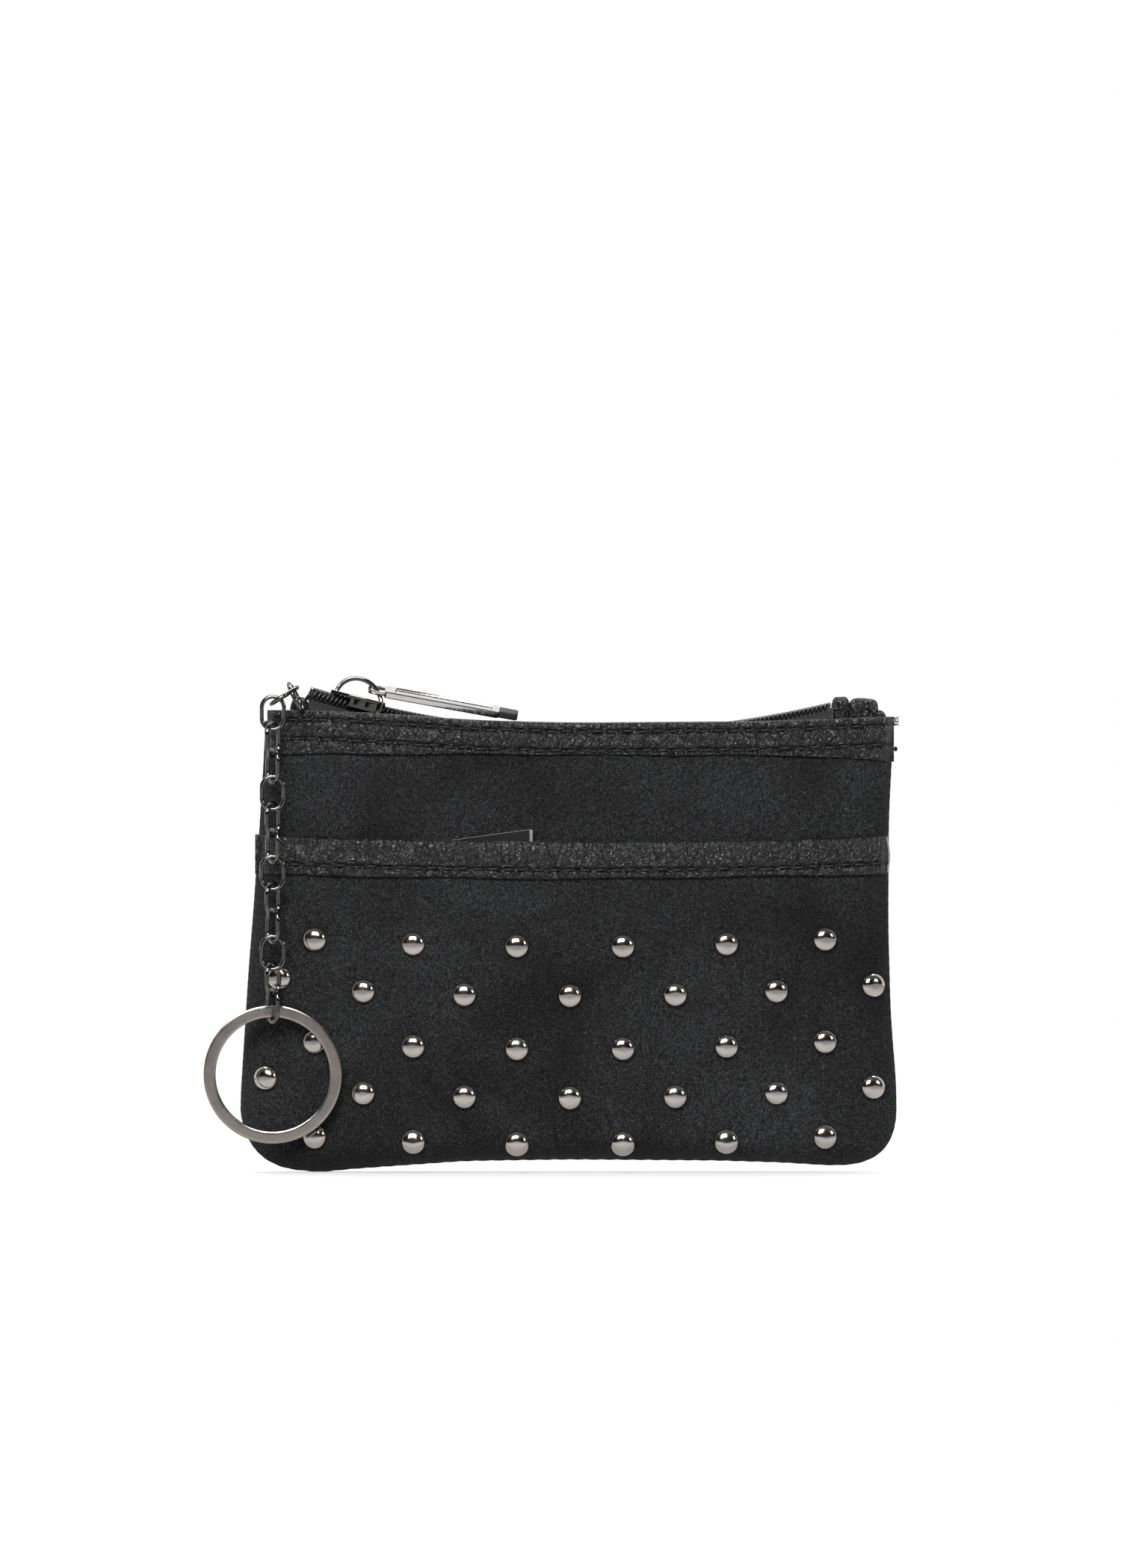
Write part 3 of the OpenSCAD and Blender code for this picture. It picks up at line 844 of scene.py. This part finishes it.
def label():
    """A glossy tab that stands out of the pocket, with a pale side."""
    left, wide, foot_z, left_z, climb = -26.8, 19.1, 60, 67.3, 2.6
    stand, lean = 0.5, 0.8
    far_in = 30
    u = np.linspace(0, 1, 40)[None, :]
    v = np.linspace(0, 1, 24)[:, None]
    x = left + wide * u + 0 * v
    z = foot_z + (left_z + climb * u - foot_z) * v
    y = front_face(x, z, np.full_like(x, far_in)) + (stand + lean * v * u)
    verts, faces = slab(points(x, -y, z), points(x, -(y - 0.35), z))
    piece("label_tab", verts, faces, "label", "purse", nodes=["label_tab"], split=40)
    z = np.linspace(62, 69.85, 20)
    x = np.full_like(z, -7.75)
    y = front_face(x, z, far_in) + stand + lean * (z - foot_z) / 9.9
    side = sweep(points(x, -y, z), rounded(0.42, 0.7, 4, 12), up=(1, 0, 0))
    x = np.linspace(-24.0, -7.8, 30)
    z = 67.4 + climb * (x - left) / wide
    y = front_face(x, z, far_in) + stand + lean * (x - left) / wide
    over = sweep(points(x, -y, z), circle(0.05, 8), up=(0, 1, 0))
    verts, faces = join([side, over])
    piece("label_side", verts, faces, "label", "purse", MAT["cut_edge"])


label()


# ---------------------------------------------------------------- studs
def dome(radius, height, sides=40):
    """Half section of a stud: a low dome with a rolled rim, closed underneath."""
    t = np.linspace(0, 1, 17)
    r = radius * np.sin(t * PI / 2)
    h = height * np.clip(1 - (r / radius) ** 2.6, 0, 1) ** 0.5
    r = np.r_[r, radius, radius * 0.97, radius * 0.5, 0]
    h = np.r_[h, -0.12, -0.3, -0.3, -0.3]
    a = np.linspace(0, 2 * PI, sides, endpoint=False)
    rings = np.stack([r[:, None] * np.cos(a), r[:, None] * np.sin(a), np.repeat(h[:, None], sides, 1)], -1)
    return rings.reshape(-1, 3), grid_faces(len(r), sides, wrap_cols=True)


def slope(x, z):
    """How fast the pocket's face rises from the seam along X and along Z, taken across a short span."""
    e = 0.8
    near = near_edge(x, z)
    ahead = pocket_face(x + e, z, near_edge(x + e, z))
    behind = pocket_face(x - e, z, near_edge(x - e, z))
    above, below = pocket_face(x, z + e, near), pocket_face(x, z - e, near)
    return float((ahead - behind) / (2 * e)), float((above - below) / (2 * e))


def make_studs():
    ball, faces = dome(STUD_R, STUD_H)
    for row in range(5):
        parts = []
        for x, z, r in STUDS:
            if r != row:
                continue
            y = float(pocket_face(x, z, near_edge(x, z)))
            dx, dz = slope(x, z)
            out = np.array([-dx, -1.0, -dz])
            out /= np.linalg.norm(out)
            side = np.cross((0, 0, 1), out)
            side /= np.linalg.norm(side)
            up = np.cross(out, side)
            foot = np.array([x, -y, z]) + out * 0.12
            parts.append((foot + ball[:, :1] * side + ball[:, 1:2] * up + ball[:, 2:] * out, faces))
        verts, all_faces = join(parts)
        name = f"studs_row_{row + 1}"
        piece(name, verts, all_faces, "stud_metal", "purse", nodes=[name], split=50)


make_studs()


# ---------------------------------------------------------------- zip
def along_zip(angle):
    """Frame of a place along the zip, in degrees to the left of its lowest point."""
    return (Matrix.Translation((ZIP_X, 0, ZIP_Z + ZIP_R)) @ Matrix.Rotation(math.radians(angle), 4, "Y")
            @ Matrix.Translation((0, 0, -ZIP_R)))


def moved(verts, matrix):
    """Points carried from a local frame to their place."""
    m = np.array(matrix)
    return np.asarray(verts) @ m[:3, :3].T + m[:3, 3]


def arc(angle, y, up):
    """Points that follow the zip's arc: angle in degrees, offsets in millimetres."""
    a = np.radians(angle)
    r = ZIP_R - up
    return points(ZIP_X - r * np.sin(a), y + 0 * a, ZIP_Z + ZIP_R - r * np.cos(a))


def coil_half(angle):
    """Half the height of the coil: it lies on its side to the left of the slider."""
    return COIL_HALF + 0.6 * smoothstep((np.asarray(angle) - 12.0) / 3.0)


def zip_tape(side, name):
    """A ribbed tape that runs from under the coil to behind the binding."""
    angles = np.linspace(ZIP_ENDS[0] - 0.2, ZIP_ENDS[1], 500 // FINE)
    drop = 2.0 * (coil_half(angles) - COIL_HALF)
    base = arc(angles, 0, 0)
    x, za = base[:, 0], base[:, 2]
    low = mouth_top(x)
    lip = 4.0
    bent = za - 0.45 - drop
    route = [(1.3, za + 0.15), (1.85, za - drop), (2.4, bent), (3.0, bent - 0.3 * (za - drop - low + 2.2)),
             (3.6, low - 0.9), (lip, low - 1.9), (lip, low - 4.2)]
    key = np.linspace(0, 1, len(route))
    fine = np.linspace(0, 1, 40)
    ys = np.interp(fine, key, [y for y, _ in route])
    zs = np.array([np.interp(fine, key, col) for col in np.stack([z for _, z in route], 1)])
    rib = 0.05 * np.cos(2 * PI * x / 0.62)
    outer = points(x[None] + 0 * ys[:, None], side * (ys[:, None] + rib[None]), zs.T + 0.03)
    inner = points(x[None] + 0 * ys[:, None], side * (ys[:, None] - 0.32), zs.T - 0.25)
    verts, faces = slab(outer, inner)
    obj = piece(name, verts, faces, "tape", None if side < 0 else "purse", nodes=[name])
    if side < 0:
        give(obj)


def zip_coil(side, name):
    """A row of nylon teeth, wound from one thread."""
    pitch = 0.9
    turns = int(ZIP_R * math.radians(ZIP_ENDS[1] - ZIP_ENDS[0]) / pitch)
    steps = 14
    t = np.arange(turns * steps + 1) / steps
    angle = ZIP_ENDS[0] + np.degrees(t * pitch / ZIP_R)
    phase = 2 * PI * t + (PI if side > 0 else 0)
    y = side * (1.5 + 0.82 * np.cos(phase))
    half = coil_half(angle)
    up = 1.07 - half + half * np.sin(phase)
    slant = np.degrees(-0.55 * half * np.sin(phase) / ZIP_R)
    verts, faces = sweep(arc(angle + slant, y, up), circle(0.29, 8), up=(0, 0.3, 1))
    obj = piece(name, verts, faces, "coil", None if side < 0 else "purse", nodes=[name])
    if side < 0:
        give(obj)


def blob(centre, half, power, sides=40, rows=26):
    """A soft block; a higher power makes it squarer."""
    def squared(c):
        return np.sign(c) * np.abs(c) ** (2 / power)

    u = np.linspace(0, 2 * PI, sides, endpoint=False)[None, :]
    v = np.linspace(-PI / 2, PI / 2, rows)[:, None]
    x = squared(np.cos(v)) * squared(np.cos(u))
    y = squared(np.cos(v)) * squared(np.sin(u))
    z = squared(np.sin(v)) + 0 * u
    d = np.stack([x, y, z], -1) * np.array(half)
    verts = (np.array(centre) + d).reshape(-1, 3)
    return verts, grid_faces(rows, sides, wrap_cols=True)


def wrinkle(verts, size, amount, seed):
    """Pushes a block's points in and out a little, so that its leather isn't even."""
    d = verts - verts.mean(0)
    out = d / np.maximum(np.linalg.norm(d, axis=1, keepdims=True), 1e-6)
    push = soft_noise(verts[:, 0] + verts[:, 1] * 1.3, verts[:, 2] + verts[:, 1] * 0.7, size, seed)
    return verts + out * push[:, None] * amount


def zip_ends():
    """The folded leather tab at the right, the chain's tab at the left, and a metal stop at either end."""
    lobes = [((55.3, 0, 92.8), (1.9, 1.6, 4.2), 3.6), ((59.9, 0, 92.6), (3.1, 1.75, 4.1), 4.0),
             ((62.7, 0, 91.6), (2.0, 1.3, 2.6), 3.0)]
    parts = []
    for k, (centre, half, power) in enumerate(lobes):
        verts, faces = blob(centre, half, power)
        parts.append((wrinkle(verts, 1.4, 0.14, k), faces))
    verts, faces = join(parts)
    piece("zip_end_tab", verts, faces, "grained_leather", "purse", nodes=["zip_end_tab"])
    verts, faces = blob((-55.0, 0, 91.6), (2.0, 1.4, 5.3), 3.4)
    piece("chain_tab", wrinkle(verts, 1.5, 0.12, 7), faces, "grained_leather", "purse", nodes=["chain_tab"])
    parts = []
    for angle in (-13.4, 17.0):
        verts, faces = blob((0, 0, 0.45), (0.6, 1.45, 0.85), 5)
        parts.append((moved(verts, along_zip(angle)), faces))
    verts, faces = join(parts)
    piece("zip_stops", verts, faces, "gunmetal", "purse", nodes=["zip_stops"])


zip_tape(-1, "zip_tape_front")
zip_tape(1, "zip_tape_back")
zip_coil(-1, "zip_coil_front")
zip_coil(1, "zip_coil_back")
zip_ends()


# ---------------------------------------------------------------- slider and puller
SLIDER = along_zip(SLIDER_ANGLE)


def bevelled(shape, low, high, bevel):
    """A flat plate cut to a shape, with softened edges."""
    bm = bmesh.new()
    base = [bm.verts.new((x, y, low)) for x, y in shape]
    face = bm.faces.new(base)
    made = bmesh.ops.extrude_face_region(bm, geom=[face])
    lifted = [g for g in made["geom"] if isinstance(g, bmesh.types.BMVert)]
    bmesh.ops.translate(bm, vec=(0, 0, high - low), verts=lifted)
    bmesh.ops.recalc_face_normals(bm, faces=bm.faces)
    rims = [e for e in bm.edges if abs(e.verts[0].co.z - e.verts[1].co.z) < 1e-6]
    bmesh.ops.bevel(bm, geom=rims, offset=bevel, segments=3, profile=0.5, affect="EDGES")
    bm.verts.index_update()
    verts = np.array([v.co[:] for v in bm.verts])
    faces = [tuple(v.index for v in f.verts) for f in bm.faces]
    bm.free()
    return verts, faces


def slider_outline():
    """The plate's shape from above: narrow at the back, with round shoulders at the front."""
    half = 5.7
    x = np.linspace(-half, half, 30)
    w = 4.0 * np.sqrt(np.clip(1 - (x / 6.6) ** 4, 0, 1)) * (0.72 + 0.28 * smoothstep((x + half) / 5))
    return list(zip(x, w)) + list(zip(x[::-1], -w[::-1]))


def make_slider():
    """Top plate, foot, the post between them, two ribbed flanges, and the bridge."""
    parts = [bevelled(slider_outline(), 1.3, 2.05, 0.2)]
    foot = [(-5.3, 1.1), (4.2, 1.1), (4.2, -1.1), (-5.3, -1.1)]
    parts.append(bevelled(foot, -1.6, -0.7, 0.15))
    parts.append(sweep([(-4.9, 0, -1.0), (-4.9, 0, 0.4), (-4.9, 0, 2.0)], circle(0.45, 16), up=(0, 1, 0)))
    start, end = -1.8, 5.3
    x = np.linspace(start, end, 90)
    ribs = 0.18 * np.abs(np.cos(PI * (x - start) / 2.36)) ** 0.7
    ribs = ribs * smoothstep((x - start) / 0.4) * smoothstep((end - x) / 0.4)
    for side in (-1, 1):
        section = []
        for r in ribs:
            box = rounded(0.8, 2.5, 6, 24)
            box[:, 0] += np.where(box[:, 0] > 0, r, 0)
            section.append(box * np.array([side, 1]))
        parts.append(sweep(points(x, side * 3.3, 0.72), section, up=(0, 0, 1)))
    verts, faces = join(parts)
    piece("slider_body", moved(verts, SLIDER), faces, "gunmetal", "slider",
          nodes=["slider_body"], split=35)
    bridge_r = 4.85
    a = np.linspace(math.radians(14), math.radians(166), 60)
    rise = bridge_r * np.sin(a)
    x = 0.2 + bridge_r * np.cos(a) - 0.12 * rise
    path = points(x, 0 * a, 0.75 + rise)
    flare = 1.9 + 0.9 * np.exp(-((rise - rise.min()) / 0.9) ** 2)
    verts, faces = sweep(path, [rounded(0.95, w, 4, 24) for w in flare])
    piece("slider_bridge", moved(verts, SLIDER), faces, "gunmetal", "slider",
          nodes=["slider_bridge"], split=45)


def make_puller():
    """A bar with a long recess in its upper face, the eye it hangs by, and its dark tip."""
    at = (SLIDER @ Matrix.Translation((3.4, 0, 4.2)) @ Matrix.Rotation(math.radians(-PULLER_LIFT), 4, "Y")
          @ Matrix.Rotation(math.radians(PULLER_ROLL), 4, "X"))
    stations = [1.5, 1.65, 1.95, 3.6, 3.72, 3.8, 23.4, 23.48, 23.6, 24.7, 25.05, 25.2]
    recess = [0, 0, 0, 0, 0.16, 0.34, 0.34, 0.16, 0, 0, 0, 0]
    shrink = [0.78, 0.92, 1, 1, 1, 1, 1, 1, 1, 1, 0.94, 0.82]
    section = []
    for d, k in zip(recess, shrink):
        w, h, rim = 2.3 * k, 0.7 * k, 1.62
        section.append([
            (-w, -h + 0.25), (-w + 0.25, -h), (0, -h), (w - 0.25, -h), (w, -h + 0.25), (w, h - 0.22),
            (w - 0.22, h), (rim, h), (rim - 0.1, h - d * 0.7), (rim - 0.22, h - d), (0, h - d),
            (-rim + 0.22, h - d), (-rim + 0.1, h - d * 0.7), (-rim, h), (-w + 0.22, h), (-w, h - 0.22)])
    bar = sweep(points(np.array(stations), 0, 0), section, up=(0, 0, 1))
    a = np.linspace(0, 2 * PI, 48, endpoint=False)
    c, s = np.cos(a), np.sin(a)
    r = (np.abs(c) ** 3.4 + np.abs(s) ** 3.4) ** (-1 / 3.4)
    eye_path = points(1.74 * c * r, 1.88 * s * r, 0)
    eye = sweep(eye_path, rounded(0.6, 0.8, 4, 14), closed=True, up=(0, 0, 1))
    verts, faces = join([bar, eye])
    piece("puller_bar", moved(verts, at), faces, "gunmetal", "puller", MAT["puller"],
          nodes=["puller_bar"], split=28)
    tip = [(25.1, 1.5), (28.6, 1.5), (29.0, 1.1), (29.0, -1.1), (28.6, -1.5), (25.1, -1.5)]
    verts, faces = bevelled(tip, -0.75, 0.75, 0.25)
    piece("puller_tip", moved(verts, at), faces, "label", "puller", MAT["rubber"],
          nodes=["puller_tip"], split=40)


make_slider()
make_puller()


# ---------------------------------------------------------------- chain and key ring
def link_shape():
    """A wire bent to an oval link that stands on its end."""
    bend = np.linspace(0, PI, 20)
    straight = LINK_HALF - LINK_R
    top = np.stack([LINK_R * np.cos(bend), 0 * bend, straight + LINK_R * np.sin(bend)], 1)
    low = np.stack([-LINK_R * np.cos(bend), 0 * bend, -straight - LINK_R * np.sin(bend)], 1)
    path = np.concatenate([top, low])
    run = even(np.concatenate([path, path[:1]]), 61)[:-1]
    return sweep(run, circle(WIRE / 2 - 0.03, 14), closed=True, up=(0, 1, 0))


def aim(start, end, roll):
    """Frame that stands at one place with its Z towards another."""
    d = np.array(end) - np.array(start)
    tilt = math.acos(d[2] / np.linalg.norm(d))
    return (Matrix.Translation(start) @ Matrix.Rotation(math.atan2(d[1], d[0]), 4, "Z")
            @ Matrix.Rotation(tilt, 4, "Y") @ Matrix.Rotation(math.radians(roll), 4, "Z"))


def make_chain():
    """The top link leans to the ring on its tab; the others hang straight, each turned 60 degrees."""
    verts, faces = link_shape()
    hook = np.array([CHAIN_X, CHAIN_Y, CHAIN_Z + LINK_HALF - WIRE - LINK_PLAY])
    high = hook + (4.5, 3.8, 2.9)
    first = aim(hook, high, 69.5) @ Matrix.Translation((0, 0, LINK_HALF))
    piece("link_01", moved(verts, first), faces, "gunmetal", "link_01", nodes=["link_01"])
    for n in range(12):
        place = Matrix.Translation((CHAIN_X, CHAIN_Y, CHAIN_Z - n * PITCH))
        at = place @ Matrix.Rotation(math.radians(60 * n), 4, "Z")
        name = f"link_{n + 2:02d}"
        piece(name, moved(verts, at), faces, "gunmetal", name, nodes=[name])
    low = np.array([-54.6, -1.0, 95.2])
    top = high - (high - hook) / np.linalg.norm(high - hook) * 1.2
    a = np.linspace(0, 2 * PI, 72, endpoint=False)
    verts, faces = sweep(points(HOLD_R * np.cos(a), 0, HOLD_R * np.sin(a)), circle(0.5, 14), closed=True)
    at = aim(low, top, 30) @ Matrix.Translation((0, 0, HOLD_R))
    piece("anchor_ring", moved(verts, at), faces, "gunmetal", "purse", nodes=["anchor_ring"])


def make_key_ring():
    """Two flat turns of spring wire: the front one steps to the back just before it has gone round."""
    degrees = np.linspace(79.5, -622, 520)
    y = CHAIN_Y - RING_TURN / 2 + RING_TURN * smoothstep((-260 - degrees) / 20)
    a = np.radians(degrees)
    path = points(CHAIN_X + RING_MID_R * np.cos(a), y, RING_Z + RING_MID_R * np.sin(a))
    verts, faces = sweep(path, rounded(*RING_FLAT, 7, 36))
    piece("key_ring", verts, faces, "gunmetal", "key_ring", MAT["ring"], nodes=["key_ring"], split=30)


make_chain()
make_key_ring()
